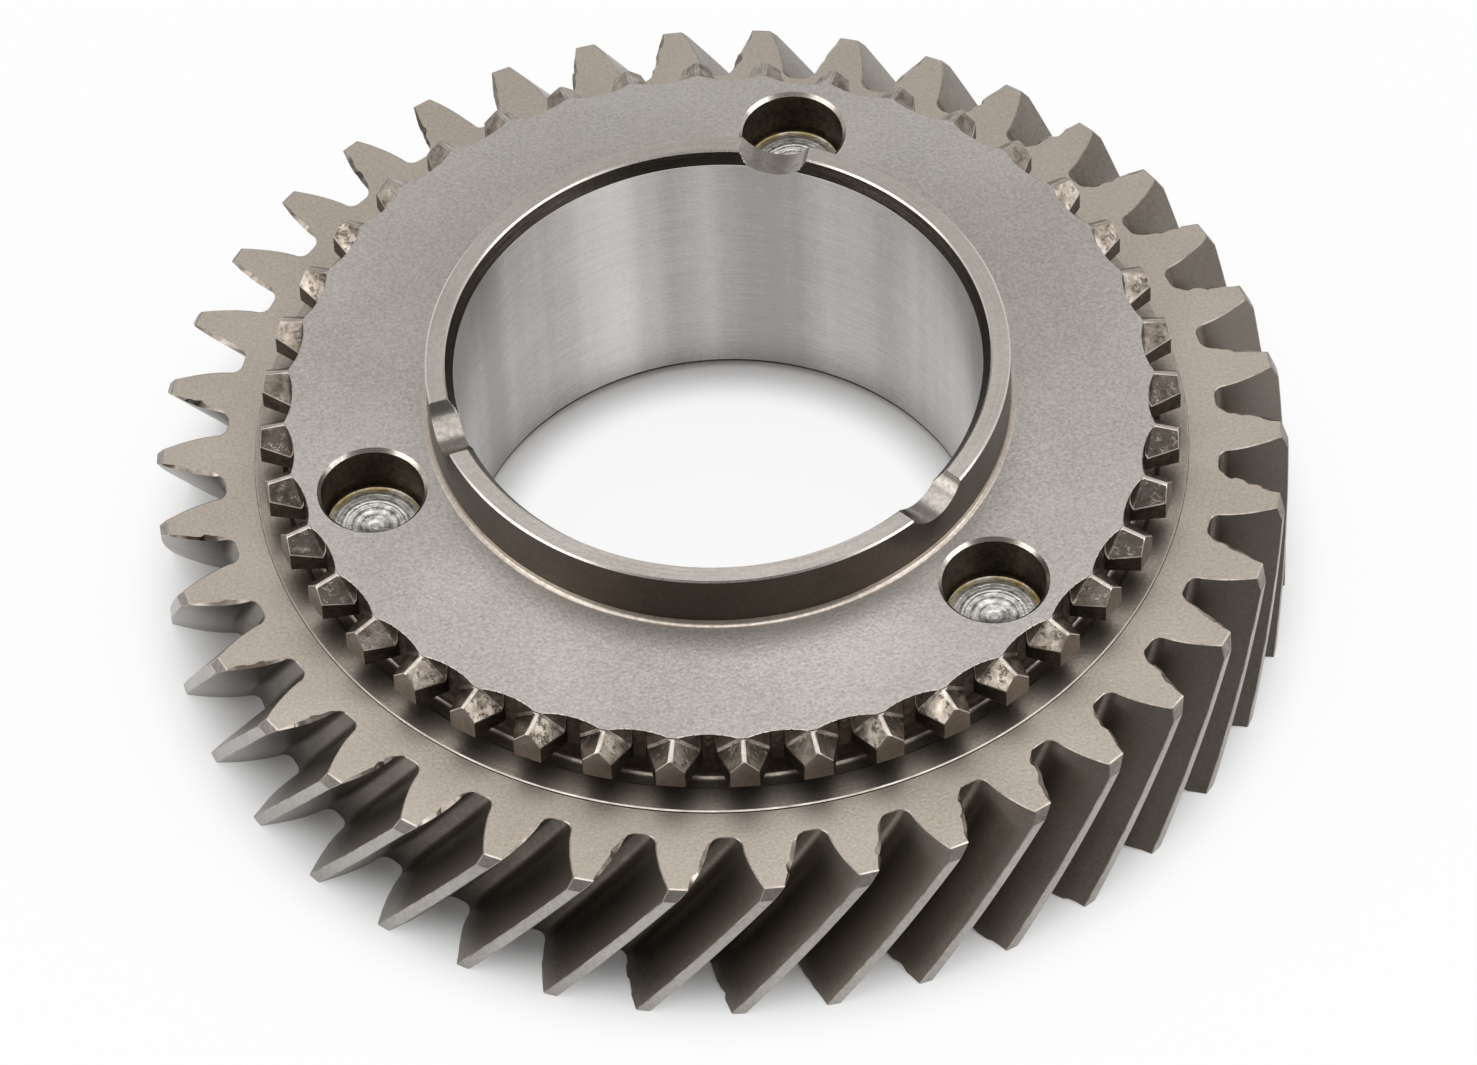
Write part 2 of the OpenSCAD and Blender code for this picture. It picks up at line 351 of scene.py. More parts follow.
# Name: dark colour, light colour, roughness, other settings
STEELS = {
    "rim_face": ((164, 153, 141), (208, 198, 187), 0.46, dict(
        clouds=40, grain=1700, fine_share=0.58, contrast=0.24, grain_depth=0.00004)),
    "flank": ((102, 94, 85), (144, 136, 128), 0.34, dict(
        metallic=0.95, grain=1400, clouds=24, fine_share=0.3, contrast=0.16, grain_depth=0.00002)),
    "root": ((92, 84, 76), (126, 117, 108), 0.4, dict(
        metallic=0.9, grain=1400, clouds=30, fine_share=0.3)),
    "tip_land": ((148, 143, 138), (180, 176, 172), 0.34, dict(
        grain=1300, lines=UPRIGHT, line_depth=0.00001)),
    # Light strips along the collar's and bore's edges, a painted highlight
    "bright_edge": ((206, 199, 190), (230, 225, 219), 0.28, dict(
        grain=1600, clouds=60, contrast=0.2, grain_depth=0.000003)),
    "tooth_edge": ((132, 123, 113), (186, 177, 167), 0.34, dict(
        grain=1400, clouds=260, fine_share=0.3)),
    "deburr": ((86, 76, 67), (184, 174, 163), 0.32, dict(
        grain=900, clouds=110, fine_share=0.2, grain_depth=0.00001)),
    "tip_bevel": ((124, 117, 110), (160, 154, 148), 0.36, dict(grain=1400, clouds=80)),
    "inner_ring": ((148, 137, 125), (194, 184, 173), 0.37, dict(
        grain=1500, clouds=90, lines=TURNED, line_share=0.2, contrast=0.14, line_depth=0.00001)),
    # Also the dark strip at the raised ring's foot, a painted contact shadow
    "neck": ((50, 42, 35), (92, 82, 72), 0.4, dict(metallic=0.9, grain=1100, clouds=60)),
    "hub_face": ((166, 160, 154), (202, 197, 192), 0.44, dict(
        clouds=22, grain=1800, fine_share=0.6, contrast=0.13, grain_depth=0.00005)),
    "roof": ((94, 84, 74), (178, 168, 157), 0.3, dict(
        grain=700, clouds=300, contrast=0.15, fine_share=0.35, grain_depth=0.00004, pits=620)),
    "ridge": ((170, 160, 149), (206, 198, 188), 0.34, dict(grain=900, clouds=300)),
    # Light broken edges and thin lines, a painted highlight
    "dog_edge": ((160, 150, 139), (216, 208, 198), 0.32, dict(
        grain=900, clouds=300, fine_share=0.3, contrast=0.2)),
    "dog_end": ((88, 79, 70), (122, 112, 102), 0.36, dict(
        metallic=0.95, grain=900, clouds=100, contrast=0.2, grain_depth=0.00004)),
    # Walls and run-outs between the clutch teeth, darkened as painted shade
    "dog_flank": ((44, 37, 31), (76, 67, 58), 0.36, dict(
        metallic=0.9, grain=900, clouds=150, grain_depth=0.00006, pits=480)),
    "runout": ((58, 50, 43), (96, 87, 78), 0.34, dict(metallic=0.95, grain=900, clouds=110)),
    "collar_top": ((178, 170, 161), (214, 207, 200), 0.34, dict(
        grain=1500, clouds=50, lines=TURNED, line_share=0.3)),
    # Dark; also the band at the bore's foot, a painted contact shadow
    "mouth": ((44, 38, 33), (84, 77, 70), 0.36, dict(
        metallic=0.95, grain=1300, lines=TURNED, line_share=0.5)),
    "collar_wall": ((68, 59, 51), (94, 85, 76), 0.34, dict(
        metallic=0.95, grain=1500, clouds=30, fine_share=0.3, contrast=0.16, grain_depth=0.00002)),
    "collar_foot": ((174, 162, 149), (220, 211, 200), 0.34, dict(grain=1400, clouds=60, lines=TURNED)),
    # Upright light and dark stripes in the bore's colour are a painted sheen
    "bore": ((156, 152, 150), (218, 215, 212), 0.26, dict(
        grain=1500, contrast=0.11, grain_depth=0.000004, lines=HONED, line_depth=0.000004,
        line_share=0.45, spread=0.05, sheen_bands=(42.0, -22.0))),
    "notch": ((132, 125, 117), (172, 166, 159), 0.28, dict(grain=1300, clouds=60, grain_depth=0.000006)),
    "hole_wall": ((44, 37, 27), (92, 81, 65), 0.34, dict(metallic=0.95, grain=1100, clouds=90)),
    "hole_rim": ((170, 161, 150), (216, 208, 199), 0.26, dict(
        grain=1400, clouds=120, grain_depth=0.000006)),
    "back_face": ((150, 143, 136), (190, 184, 178), 0.38, dict(
        grain=1400, clouds=35, lines=TURNED, line_share=0.4)),
}
MATERIALS = {name: steel(name, dark, light, roughness, **settings)
             for name, (dark, light, roughness, settings) in STEELS.items()}

# Noise scales of the hole floor, per metre
HOLE_RING_SCALE = 1400.0
HOLE_PIT_SCALE = 650.0
FILM_SCALE = 190.0
# Radii where the oil film starts and is full, in millimetres, and how far its edge wanders, in metres
FILM_START = HOLE_R - 1.7
FILM_FULL = HOLE_R - 1.0
FILM_WANDER = 0.003


def hole_floor():
    """Floor of a blind hole: fresh turning rings, pitted, with an olive film of old oil at the edge."""
    material = bpy.data.materials.new("hole_floor")
    g = Graph(material)
    near = None
    for a in STATIONS:
        r = g.radius((HOLE_CIRCLE_R * MM * math.cos(a), HOLE_CIRCLE_R * MM * math.sin(a)))
        near = r if near is None else g.math("MINIMUM", near, r)
    rings = g.node("ShaderNodeTexNoise", noise_dimensions="1D")
    g.link(g.math("MULTIPLY", near, HOLE_RING_SCALE), rings.inputs["W"])
    rings.inputs["Scale"].default_value = 1.0
    rings.inputs["Detail"].default_value = 2.0
    pits = g.noise(HOLE_PIT_SCALE, 5.0, 0.7)
    shade = g.blend(rings.outputs["Fac"], pits, 0.5)
    tone = g.mix(g.ramp(shade, 0.4, 0.6), linear((112, 106, 98)), linear((238, 236, 232)))
    wander = g.math("MULTIPLY", g.math("SUBTRACT", pits, 0.5), FILM_WANDER)
    film = g.ramp(g.math("ADD", near, wander), FILM_START * MM, FILM_FULL * MM)
    film = g.math("MULTIPLY", film, g.ramp(g.noise(FILM_SCALE), 0.4, 0.6, 0.35, 1.0))
    tone = g.mix(film, tone, linear((140, 122, 72)))
    g.link(tone, g.shader.inputs["Base Color"])
    g.shader.inputs["Metallic"].default_value = 1.0
    g.link(g.ramp(shade, *SHEEN_RANGE, 0.42, 0.24), g.shader.inputs["Roughness"])
    normal = g.bump(pits, 0.00012, under=g.bump(rings.outputs["Fac"], 0.00008))
    g.link(normal, g.shader.inputs["Normal"])
    return material


MATERIALS["hole_floor"] = hole_floor()


# ---- pieces

class Builder:
    """Collects vertices in millimetres and faces by material, and makes one smooth piece of them."""

    def __init__(self, name):
        self.name, self.verts, self.faces, self.zones = name, [], [], []

    def add(self, points):
        first = len(self.verts)
        self.verts.extend(points)
        return list(range(first, len(self.verts)))

    def face(self, indices, zone):
        self.faces.append(indices)
        self.zones.append(zone)

    def strip(self, low, high, zone):
        """Quads between two closed rows of points; zone is a name or a function of the step."""
        for i in range(len(low)):
            j = (i + 1) % len(low)
            self.face([low[i], low[j], high[j], high[i]], zone(i) if callable(zone) else zone)

    def finish(self, sharp_degrees=30.0, weld=0.0005):
        used = sorted(set(self.zones))
        mesh = bpy.data.meshes.new(self.name)
        mesh.from_pydata([[c * MM for c in v] for v in self.verts], [], self.faces)
        for zone in used:
            mesh.materials.append(MATERIALS[zone])
        for polygon, zone in zip(mesh.polygons, self.zones):
            polygon.material_index = used.index(zone)
        bm = bmesh.new()
        bm.from_mesh(mesh)
        bmesh.ops.remove_doubles(bm, verts=bm.verts, dist=weld * MM)
        bmesh.ops.recalc_face_normals(bm, faces=bm.faces)
        for edge in bm.edges:
            if edge.is_manifold:
                # A slight fold is sharp too where one surface ends and another starts
                same = edge.link_faces[0].material_index == edge.link_faces[1].material_index
                limit = sharp_degrees if same else SEAM_DEGREES
                edge.smooth = edge.calc_face_angle(0.0) < math.radians(limit)
        for face in bm.faces:
            face.smooth = True
        bm.to_mesh(mesh)
        bm.free()
        piece = bpy.data.objects.new(self.name, mesh)
        bpy.context.scene.collection.objects.link(piece)
        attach(piece, "root")
        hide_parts("gear")


def arc(centre_r, centre_z, radius, start, end, steps):
    """Points of a profile arc, angles in degrees."""
    return [
        (centre_r + radius * math.cos(math.radians(start + (end - start) * i / steps)),
         centre_z + radius * math.sin(math.radians(start + (end - start) * i / steps)))
        for i in range(steps + 1)
    ]


# ---- helical rim

def involute_turn(r):
    a = math.acos(min(1.0, BASE_R / r))
    return math.tan(a) - a


def half_angle(r):
    """Half the angle that a tooth takes up at radius r."""
    return math.pi / 2 / TOOTH_COUNT + involute_turn(PITCH_R) - involute_turn(r)


def tooth_side(tip_r):
    """One side of a tooth from the gap bottom to the tip corner, as (radius, angle from the middle)."""
    start_r = ROOT_R + ROOT_ROUND_R
    centre = half_angle(start_r) + math.asin(ROOT_ROUND_R / start_r)
    points = []
    for i in range(ROUND_STEPS + 1):
        t = math.pi / 2 * i / ROUND_STEPS
        along, across = start_r - ROOT_ROUND_R * math.cos(t), -ROOT_ROUND_R * math.sin(t)
        points.append((math.hypot(along, across), centre + math.atan2(across, along)))
    for i in range(1, FLANK_STEPS + 1):
        r = start_r + (tip_r - TIP_EDGE_W - start_r) * i / FLANK_STEPS
        points.append((r, half_angle(r)))
    return points


def tip_radius(z):
    """Radius of the tooth tips at height z: smaller in the bevel at the rim face."""
    return TIP_R - TIP_CHAMFER_W * min(1.0, max(0.0, (z - RIM_H + TIP_CHAMFER_H) / TIP_CHAMFER_H))


def tooth_point(i, z):
    """Point i of the outline of a tooth at height z, as (radius, angle from the middle)."""
    tip_r = tip_radius(z)
    side = tooth_side(tip_r)
    if i < SIDE_POINTS:
        return side[i][0], -side[i][1]
    if i < SIDE_POINTS + LAND_STEPS + 1:
        reach = half_angle(tip_r) - TIP_EDGE_W / tip_r
        return tip_r, reach * (2 * (i - SIDE_POINTS) / LAND_STEPS - 1)
    if i < TOOTH_POINTS - 1:
        return side[TOOTH_POINTS - 2 - i]
    return ROOT_R, math.pi / TOOTH_COUNT


def tooth_zone(i):
    """Material of the strip between outline points i and i + 1."""
    last = TOOTH_POINTS - 1
    if i < ROUND_STEPS or i >= last - 1 - ROUND_STEPS:
        return "root"
    if i in (SIDE_POINTS - 1, SIDE_POINTS + LAND_STEPS):
        return "tooth_edge"
    if SIDE_POINTS <= i < SIDE_POINTS + LAND_STEPS:
        return "tip_land"
    return "flank"


def edge_breaks(rng):
    """(width, height) of the broken edge at each outline point: wide and chipped on the sharp side."""
    facets = [(rng.uniform(*FACET_W), rng.uniform(*FACET_SLOPE)) for _ in range(FACET_COUNT)]
    chip, chip_w = rng.uniform(*CHIP_SHARE), rng.uniform(*CHIP_W)
    breaks = []
    for i in range(TOOTH_POINTS):
        s = (TOOTH_POINTS - 2 - i) / (SIDE_POINTS - 1)
        if SIDE_POINTS <= i <= SIDE_POINTS + LAND_STEPS:
            breaks.append(LAND_BREAK)
        elif BREAK_START < s <= 1.0:
            w, slope = facets[min(FACET_COUNT - 1, int(FACET_COUNT * s))]
            w += chip_w * math.exp(-((s - chip) / CHIP_SPREAD) ** 2)
            taper = min(1.0, (s - BREAK_START) / BREAK_START_TAPER, (BREAK_END - s) / BREAK_END_TAPER)
            w = EDGE_W + (w - EDGE_W) * taper
            breaks.append((w, w * slope))
        else:
            breaks.append((EDGE_W, EDGE_W))
    return breaks


def tooth_rows():
    """Rows of points round all the helical teeth, from the back face up to the rim face."""
    heights = [k / RIM_ROWS for k in range(RIM_ROWS + 1)]
    crease = RIM_H - TIP_CHAMFER_H
    rows = [[] for _ in range(1 + len(heights) + len(BEVEL_ROWS) + 1)]
    for k in range(TOOTH_COUNT):
        rng = random.Random(TOOTH_SEED + k)
        top_break = edge_breaks(rng)
        low_break = edge_breaks(rng)
        # The sharp side is the other one at the back face
        low_break = low_break[:TOOTH_POINTS - 1][::-1] + low_break[-1:]
        middle = TOOTH_PHASE + 2 * math.pi * k / TOOTH_COUNT

        def at(i, z):
            r, a = tooth_point(i, z)
            a += middle + TURN_RATE * (z - RIM_H)
            return Vector((r * math.cos(a), r * math.sin(a)))

        def inset(i, z, w):
            """Outline point i at height z, moved into the tooth by w."""
            before = at(i - 1, z) if i else at(i, z) + (at(i, z) - at(1, z))
            after = at(i + 1, z) if i < TOOTH_POINTS - 1 else at(i, z) + (at(i, z) - at(i - 1, z))
            along = (after - before).normalized()
            p = at(i, z)
            return (p.x - along.y * w, p.y + along.x * w, z)

        for i in range(TOOTH_POINTS):
            low_w, low_h = low_break[i]
            top_w, top_h = top_break[i]
            zs = [low_h + (crease - low_h) * h for h in heights]
            zs += [crease + (RIM_H - top_h - crease) * f for f in BEVEL_ROWS]
            rows[0].append(inset(i, 0.0, low_w))
            for row, z in zip(rows[1:], zs):
                p = at(i, z)
                row.append((p.x, p.y, z))
            rows[-1].append(inset(i, RIM_H, top_w))
    return rows


def rim_zone(i, s, last):
    """Material of the tooth surface at outline point i, between rows s and s + 1 of rows up to last + 1."""
    p = i % TOOTH_POINTS
    found = tooth_zone(p)
    if s in (0, last):
        acute = SIDE_POINTS + LAND_STEPS < p < TOOTH_POINTS - 3 if s else 1 < p < SIDE_POINTS - 1
        # The breaks at the ends of the tip lands are light as a painted highlight
        return "deburr" if acute else "dog_edge" if found == "tip_land" else "tooth_edge"
    return "tip_bevel" if found == "tip_land" and s > RIM_ROWS else found


def make_rim():
    rim = Builder("gear_rim")
    index = [rim.add(row) for row in tooth_rows()]
    last = len(index) - 2
    for s in range(len(index) - 1):
        rim.strip(index[s], index[s + 1], lambda i, s=s: rim_zone(i, s, last))
    # End faces: one polygon a tooth, out to the outline and in to a circle
    count = TOOTH_COUNT * ARCS_PER_TOOTH
    ends = ((index[-1], RIM_H, LAND_R, "rim_face"), (index[0], 0.0, BORE_R + BACK_BEVEL, "back_face"))
    for row, z, inner_r, zone in ends:
        start = TOOTH_PHASE - math.pi / TOOTH_COUNT + TURN_RATE * (z - RIM_H)
        circle = rim.add([polar(inner_r, start + 2 * math.pi * i / count, z) for i in range(count)])
        for k in range(TOOTH_COUNT):
            outer = [row[k * TOOTH_POINTS - 1]] + row[k * TOOTH_POINTS:(k + 1) * TOOTH_POINTS]
            inner = [circle[(k * ARCS_PER_TOOTH + i) % count] for i in range(ARCS_PER_TOOTH + 1)]
            rim.face(outer + inner[::-1], zone)
    # Raised ring with its light line, a painted highlight, and its dark foot line, a painted contact shadow;
    # groove and neck
    floor_z = RIM_H - GROOVE_DEPTH
    step = LAND_H + GROOVE_DEPTH
    profile = [
        # The steep strip at the ring's foot is dark as a painted contact shadow
        ((LAND_R, RIM_H), "neck"),
        # The strip above it is light as a painted highlight line
        ((LAND_R - LINE_FOOT_W, RIM_H + LINE_FOOT_H), "dog_edge"),
        ((LAND_R - LINE_FOOT_W - LINE_W, RIM_H + LAND_H), "inner_ring"),
        ((GROOVE_R, RIM_H + LAND_H), "inner_ring"),
        ((GROOVE_R - step, floor_z), "inner_ring"),
    ]
    foot = arc(NECK_R + NECK_ROUND_R, floor_z + NECK_ROUND_R, NECK_ROUND_R, 270, 180, FOOT_STEPS)
    profile += [(p, "inner_ring" if i < FOOT_STEPS / 2 else "neck") for i, p in enumerate(foot)]
    profile.append(((NECK_R, DOG_FOOT_Z), "neck"))
    start = TOOTH_PHASE - math.pi / TOOTH_COUNT
    rings = [rim.add([polar(r, start + 2 * math.pi * i / count, z) for i in range(count)])
             for (r, z), _ in profile]
    for s in range(len(profile) - 1):
        rim.strip(rings[s], rings[s + 1], profile[s][1])
    rim.finish()


# ---- hub

NOTCH_REACH = NOTCH_HALF_W + NOTCH_MARGIN


def hub_stations():
    """Stations round the axis, as (notch, place across it, share of the way on to the next one)."""
    across = [-NOTCH_REACH, -NOTCH_HALF_W - NOTCH_LIP]
    across += [NOTCH_HALF_W * math.sin(math.pi / 2 * (2 * i / NOTCH_STEPS - 1))
               for i in range(NOTCH_STEPS + 1)]
    across += [NOTCH_HALF_W + NOTCH_LIP, NOTCH_REACH]
    stations = []
    for k in range(len(STATIONS)):
        stations += [(k, y, None) for y in across]
        stations += [(k, None, i / TURN_STEPS) for i in range(1, TURN_STEPS)]
    return stations


def station_angle(station, r):
    """Angle of a station at radius r: a straight line across a notch, an even step between notches."""
    k, y, share = station
    if y is not None:
        return STATIONS[k] + math.asin(y / r)
    edge = math.asin(NOTCH_REACH / r)
    return STATIONS[k] + edge + (2 * math.pi / len(STATIONS) - 2 * edge) * share


def notch_z(station):
    """Height of the collar's top at a station, lower in the round bottom of a notch."""
    y = station[1]
    if y is None or abs(y) >= NOTCH_HALF_W:
        return TOP_Z
    return TOP_Z + NOTCH_R - NOTCH_DEPTH - math.sqrt(NOTCH_R ** 2 - y ** 2)


def hub_profile(foot):
    """Profile from the collar's foot up its wall, over the top and down the bore to the back face."""
    taper = [(MOUTH_R + (BORE_R - MOUTH_R) * t, TOP_Z - COLLAR_BEVEL + (COLLAR_BEVEL - MOUTH_H) * t)
             for t in [i / MOUTH_STEPS for i in range(MOUTH_STEPS + 1)]]
    wall = [(COLLAR_R, HUB_Z + COLLAR_ROUND_R + (TOP_Z - COLLAR_BEVEL - HUB_Z - COLLAR_ROUND_R) * t)
            for t in [i / WALL_STEPS for i in range(1, WALL_STEPS + 1)]]
    profile = [(p, "collar_foot") for p in foot[:-1]] + [(foot[-1], "collar_wall")]
    # The bevels at the collar's top edges and the strip at the bore's top edge carry a painted highlight
    profile += [(p, "collar_wall") for p in wall[:-1]] + [(wall[-1], "bright_edge")]
    profile += [((COLLAR_R - COLLAR_BEVEL, TOP_Z), "collar_top"),
                ((MOUTH_R + COLLAR_BEVEL, TOP_Z), "bright_edge")]
    profile += [(p, "mouth") for p in taper[:-1]] + [(taper[-1], "bright_edge")]
    profile += [((BORE_R, TOP_Z - MOUTH_H - MOUTH_EDGE_H), "bore"),
                ((BORE_R, TOP_Z - MOUTH_H - MOUTH_BAND_H), "bore"),
                # The lowest band of the bore takes the dark mouth colour as a painted contact shadow
                ((BORE_R, BACK_BEVEL + BORE_FOOT_SHADE_H), "mouth"),
                ((BORE_R, BACK_BEVEL), "back_face"),
                ((BORE_R + BACK_BEVEL, 0.0), "back_face")]
    return profile


def add_holes(hub):
    """Adds the blind holes and returns the points of their mouths."""
    floor_z = HUB_Z - HOLE_DEPTH
    foot = arc(HOLE_R - HOLE_ROUND_R, floor_z + HOLE_ROUND_R, HOLE_ROUND_R, 0, -90, HOLE_ROUND_STEPS)
    bowl = [((HOLE_R + HOLE_BEVEL, HUB_Z), "hole_rim"), ((HOLE_R, HUB_Z - HOLE_BEVEL), "hole_wall")]
    bowl += [(p, "hole_wall") for p in foot[:-3]] + [(p, "hole_floor") for p in foot[-3:]]
    bowl += [((DIMPLE_R, floor_z), "hole_floor"), ((0.0, floor_z - DIMPLE_DEPTH), "hole_floor")]
    mouths = []
    for a in STATIONS:
        centre = Vector((HOLE_CIRCLE_R * math.cos(a), HOLE_CIRCLE_R * math.sin(a)))
        rings = []
        for (r, z), _ in bowl:
            circle = [polar(r, 2 * math.pi * i / HOLE_STEPS, z) for i in range(HOLE_STEPS)]
            rings.append(hub.add([(centre.x + x, centre.y + y, z) for x, y, z in circle]))
        for s in range(len(bowl) - 1):
            hub.strip(rings[s], rings[s + 1], bowl[s][1])
        mouths.append(rings[0])
    return mouths


def add_hub_face(hub, collar_loop, mouths):
    """Adds the flat hub face between the clutch ring, the holes and the collar foot."""
    count = DOG_COUNT * CELL_ARCS
    bm = bmesh.new()
    loops = [[polar(NECK_R, DOG_PHASE - HALF_CELL + 2 * math.pi * i / count, HUB_Z) for i in range(count)]]
    loops.append(collar_loop)
    loops += [[hub.verts[i] for i in mouth] for mouth in mouths]
    edges = []
    for loop in loops:
        made = [bm.verts.new(p) for p in loop]
        edges += [bm.edges.new((made[i], made[(i + 1) % len(made)])) for i in range(len(made))]
    bmesh.ops.triangle_fill(bm, use_beauty=True, use_dissolve=False, edges=edges, normal=(0, 0, 1))
    bm.verts.index_update()
    index = hub.add([tuple(v.co) for v in bm.verts])
    for f in bm.faces:
        hub.face([index[v.index] for v in f.verts], "hub_face")
    bm.free()


def make_hub():
    hub = Builder("gear_hub")
    stations = hub_stations()
    foot = arc(COLLAR_R + COLLAR_ROUND_R, HUB_Z + COLLAR_ROUND_R, COLLAR_ROUND_R, 270, 180, FOOT_STEPS)
    profile = hub_profile(foot)
    rings = []
    for (r, z), _ in profile:
        rings.append(hub.add([polar(r, station_angle(s, r), min(z, notch_z(s))) for s in stations]))
    for row in range(len(profile) - 1):
        lower = min(profile[row][0][1], profile[row + 1][0][1])

        def zone(i, row=row, lower=lower):
            cut = min(notch_z(stations[i]), notch_z(stations[(i + 1) % len(stations)]))
            in_notch = cut < lower - 0.001 or (cut < TOP_Z - 0.01 and lower > TOP_Z - 0.5)
            return "notch" if in_notch else profile[row][1]

        hub.strip(rings[row], rings[row + 1], zone)
    mouths = add_holes(hub)
    foot_r = foot[0][0]
    add_hub_face(hub, [polar(foot_r, station_angle(s, foot_r), HUB_Z) for s in stations], mouths)
    hub.finish(sharp_degrees=24.0)


# ---- clutch teeth

def solid(name, points, faces):
    """A closed object in millimetres, kept only while the clutch cell is cut."""
    mesh = bpy.data.meshes.new(name)
    mesh.from_pydata(points, [], faces)
    bm = bmesh.new()
    bm.from_mesh(mesh)
    bmesh.ops.recalc_face_normals(bm, faces=bm.faces)
    bm.to_mesh(mesh)
    bm.free()
    made = bpy.data.objects.new(name, mesh)
    bpy.context.scene.collection.objects.link(made)
    return made


def prism(name, outline, place):
    """Closed prism: place(u, v, end) gives the point of outline corner (u, v) at end 0 or 1."""
    n = len(outline)
    points = [place(u, v, end) for end in (0, 1) for u, v in outline]
    faces = [list(range(n)), list(range(2 * n - 1, n - 1, -1))]
    faces += [[i, (i + 1) % n, n + (i + 1) % n, n + i] for i in range(n)]
    return solid(name, points, faces)


def cone_z(r):
    """Height of the ridge at radius r."""
    return RIDGE_Z - (r - RIDGE_R) * math.tan(RIDGE_FALL)


def cell_blank():
    """The wedge of the ring that one clutch tooth is cut from, with its middle along +X."""
    slope = DOG_BEVEL_W / (HUB_Z - DOG_WALL_Z)
    cone_top = RIDGE_Z + RIDGE_R * math.tan(RIDGE_FALL)
    bevel_r = (DOG_R - slope * (cone_top - DOG_WALL_Z)) / (1 - slope * math.tan(RIDGE_FALL))
    profile = [(NECK_R, DOG_FOOT_Z), (DOG_R, DOG_FOOT_Z), (DOG_R, DOG_WALL_Z), (bevel_r, cone_z(bevel_r)),
               (HUB_FACE_R, cone_z(HUB_FACE_R)), (HUB_FACE_R, HUB_Z), (NECK_R, HUB_Z)]
    n = len(profile)
    points, faces = [], []
    for i in range(CELL_ARCS + 1):
        a = -HALF_CELL + 2 * HALF_CELL * i / CELL_ARCS
        points += [polar(r, a, z) for r, z in profile]
    for i in range(CELL_ARCS):
        for j in range(n):
            k = (j + 1) % n
            faces.append([i * n + j, i * n + k, (i + 1) * n + k, (i + 1) * n + j])
    faces += [list(range(n)), list(range(CELL_ARCS * n + n - 1, CELL_ARCS * n - 1, -1))]
    return solid("cell", points, faces)


def roof_cutter(sign):
    """Cutter of one roof face: a tilted box with the run-out arc at its hub end."""
    reach = (DOG_INNER_W / 2 + CLEAR) / math.cos(ROOF_SLOPE)
    centre_x = RUNOUT_R - RUNOUT_DEPTH
    centre_z = math.sqrt(RUNOUT_R ** 2 - centre_x ** 2)
    start, end = math.atan2(-centre_z, -centre_x), -math.pi
    turns = [start + (end - start) * i / RUNOUT_STEPS for i in range(RUNOUT_STEPS + 1)]
    run = [(centre_x + RUNOUT_R * math.cos(t), centre_z + RUNOUT_R * math.sin(t)) for t in turns]
    outer = DOG_R + ROOF_CUT_REACH - RIDGE_R
    outline = [(outer, 0.0), (outer, ROOF_CUT_H), (run[-1][0], ROOF_CUT_H)] + run[::-1]
    tilt = Matrix.Rotation(RIDGE_FALL, 3, "Y") @ Matrix.Rotation(-ROOF_SLOPE, 3, "X")
    base = Vector((RIDGE_R, 0.0, RIDGE_Z + RIDGE_FLAT_W / 2 * math.tan(ROOF_SLOPE)))

    def place(u, v, far):
        p = base + tilt @ Vector((u, reach if far else -CLEAR, v))
        return (p.x, sign * p.y, p.z)

    return prism("roof_cut", outline, place)


def gap_cutter(sign):
    """Cutter of the gap beside the tooth, from the root wall outwards."""
    taper = (DOG_INNER_W - DOG_OUTER_W) / 2 / (DOG_R - RIDGE_R)
    near = [(x, DOG_INNER_W / 2 + taper * (RIDGE_R - x)) for x in (RIDGE_R - RUNOUT_DEPTH, DOG_R + CLEAR)]
    turn = 2 * HALF_CELL
    far = [(x * math.cos(turn) + y * math.sin(turn), x * math.sin(turn) - y * math.cos(turn))
           for x, y in near]
    plan = [near[0], near[1], far[1], far[0]]
    return prism("gap_cut", plan, lambda x, y, up: (x, sign * y, HUB_Z + CLEAR if up else DOG_FOOT_Z - CLEAR))


def on_seam(face):
    """Whether a face of the cell lies where the next cell or the hub carries on."""
    angles = [math.atan2(v.co.y, v.co.x) for v in face.verts]
    radii = [math.hypot(v.co.x, v.co.y) for v in face.verts]
    return (all(abs(abs(a) - HALF_CELL) < SEAM_ANGLE for a in angles)
            or (all(abs(r - NECK_R) < SEAM_R for r in radii) and abs(face.normal.z) < 0.5))


def is_crisp(edge):
    """Whether an edge of the cell gets a broken edge: long, outward, clear of the foot and sharp enough."""
    return (edge.is_manifold and edge.is_convex
            and edge.calc_face_angle(0.0) > math.radians(CRISP_DEGREES)
            and edge.calc_length() > 2 * DOG_EDGE_W
            and min(v.co.z for v in edge.verts) > DOG_FOOT_Z + CLEAR)


def cell_zone(face, broken):
    """Material of a face of the cell, from where it lies and which way it faces."""
    c, n = face.calc_center_median(), face.normal
    r = math.hypot(c.x, c.y)
    if n.z > 0.999 and c.z > HUB_Z - 0.05:
        return "hub_face"
    if broken:
        # Broken edges up at the roof are light as a painted highlight, the lower ones keep the end colour
        return "dog_edge" if c.z > DOG_WALL_Z - 1.0 and n.z > -0.1 else "dog_end"
    if n.z < -0.9:
        return "neck"
    if abs(c.y) < RIDGE_FLAT_W / 2 and n.z > 0.9:
        return "ridge"
    if n.z > 0.25 and r > RIDGE_R - 1.0 and (n.x > 0.05 or abs(n.y) > 0.6):
        return "roof"
    # Run-outs and walls between the teeth take dark colours of painted shade
    if abs(n.z) > 0.05 and r < RIDGE_R:
        return "runout"
    if n.x > 0.9 and r > DOG_R - 1.5:
        return "dog_end"
    return "dog_flank"


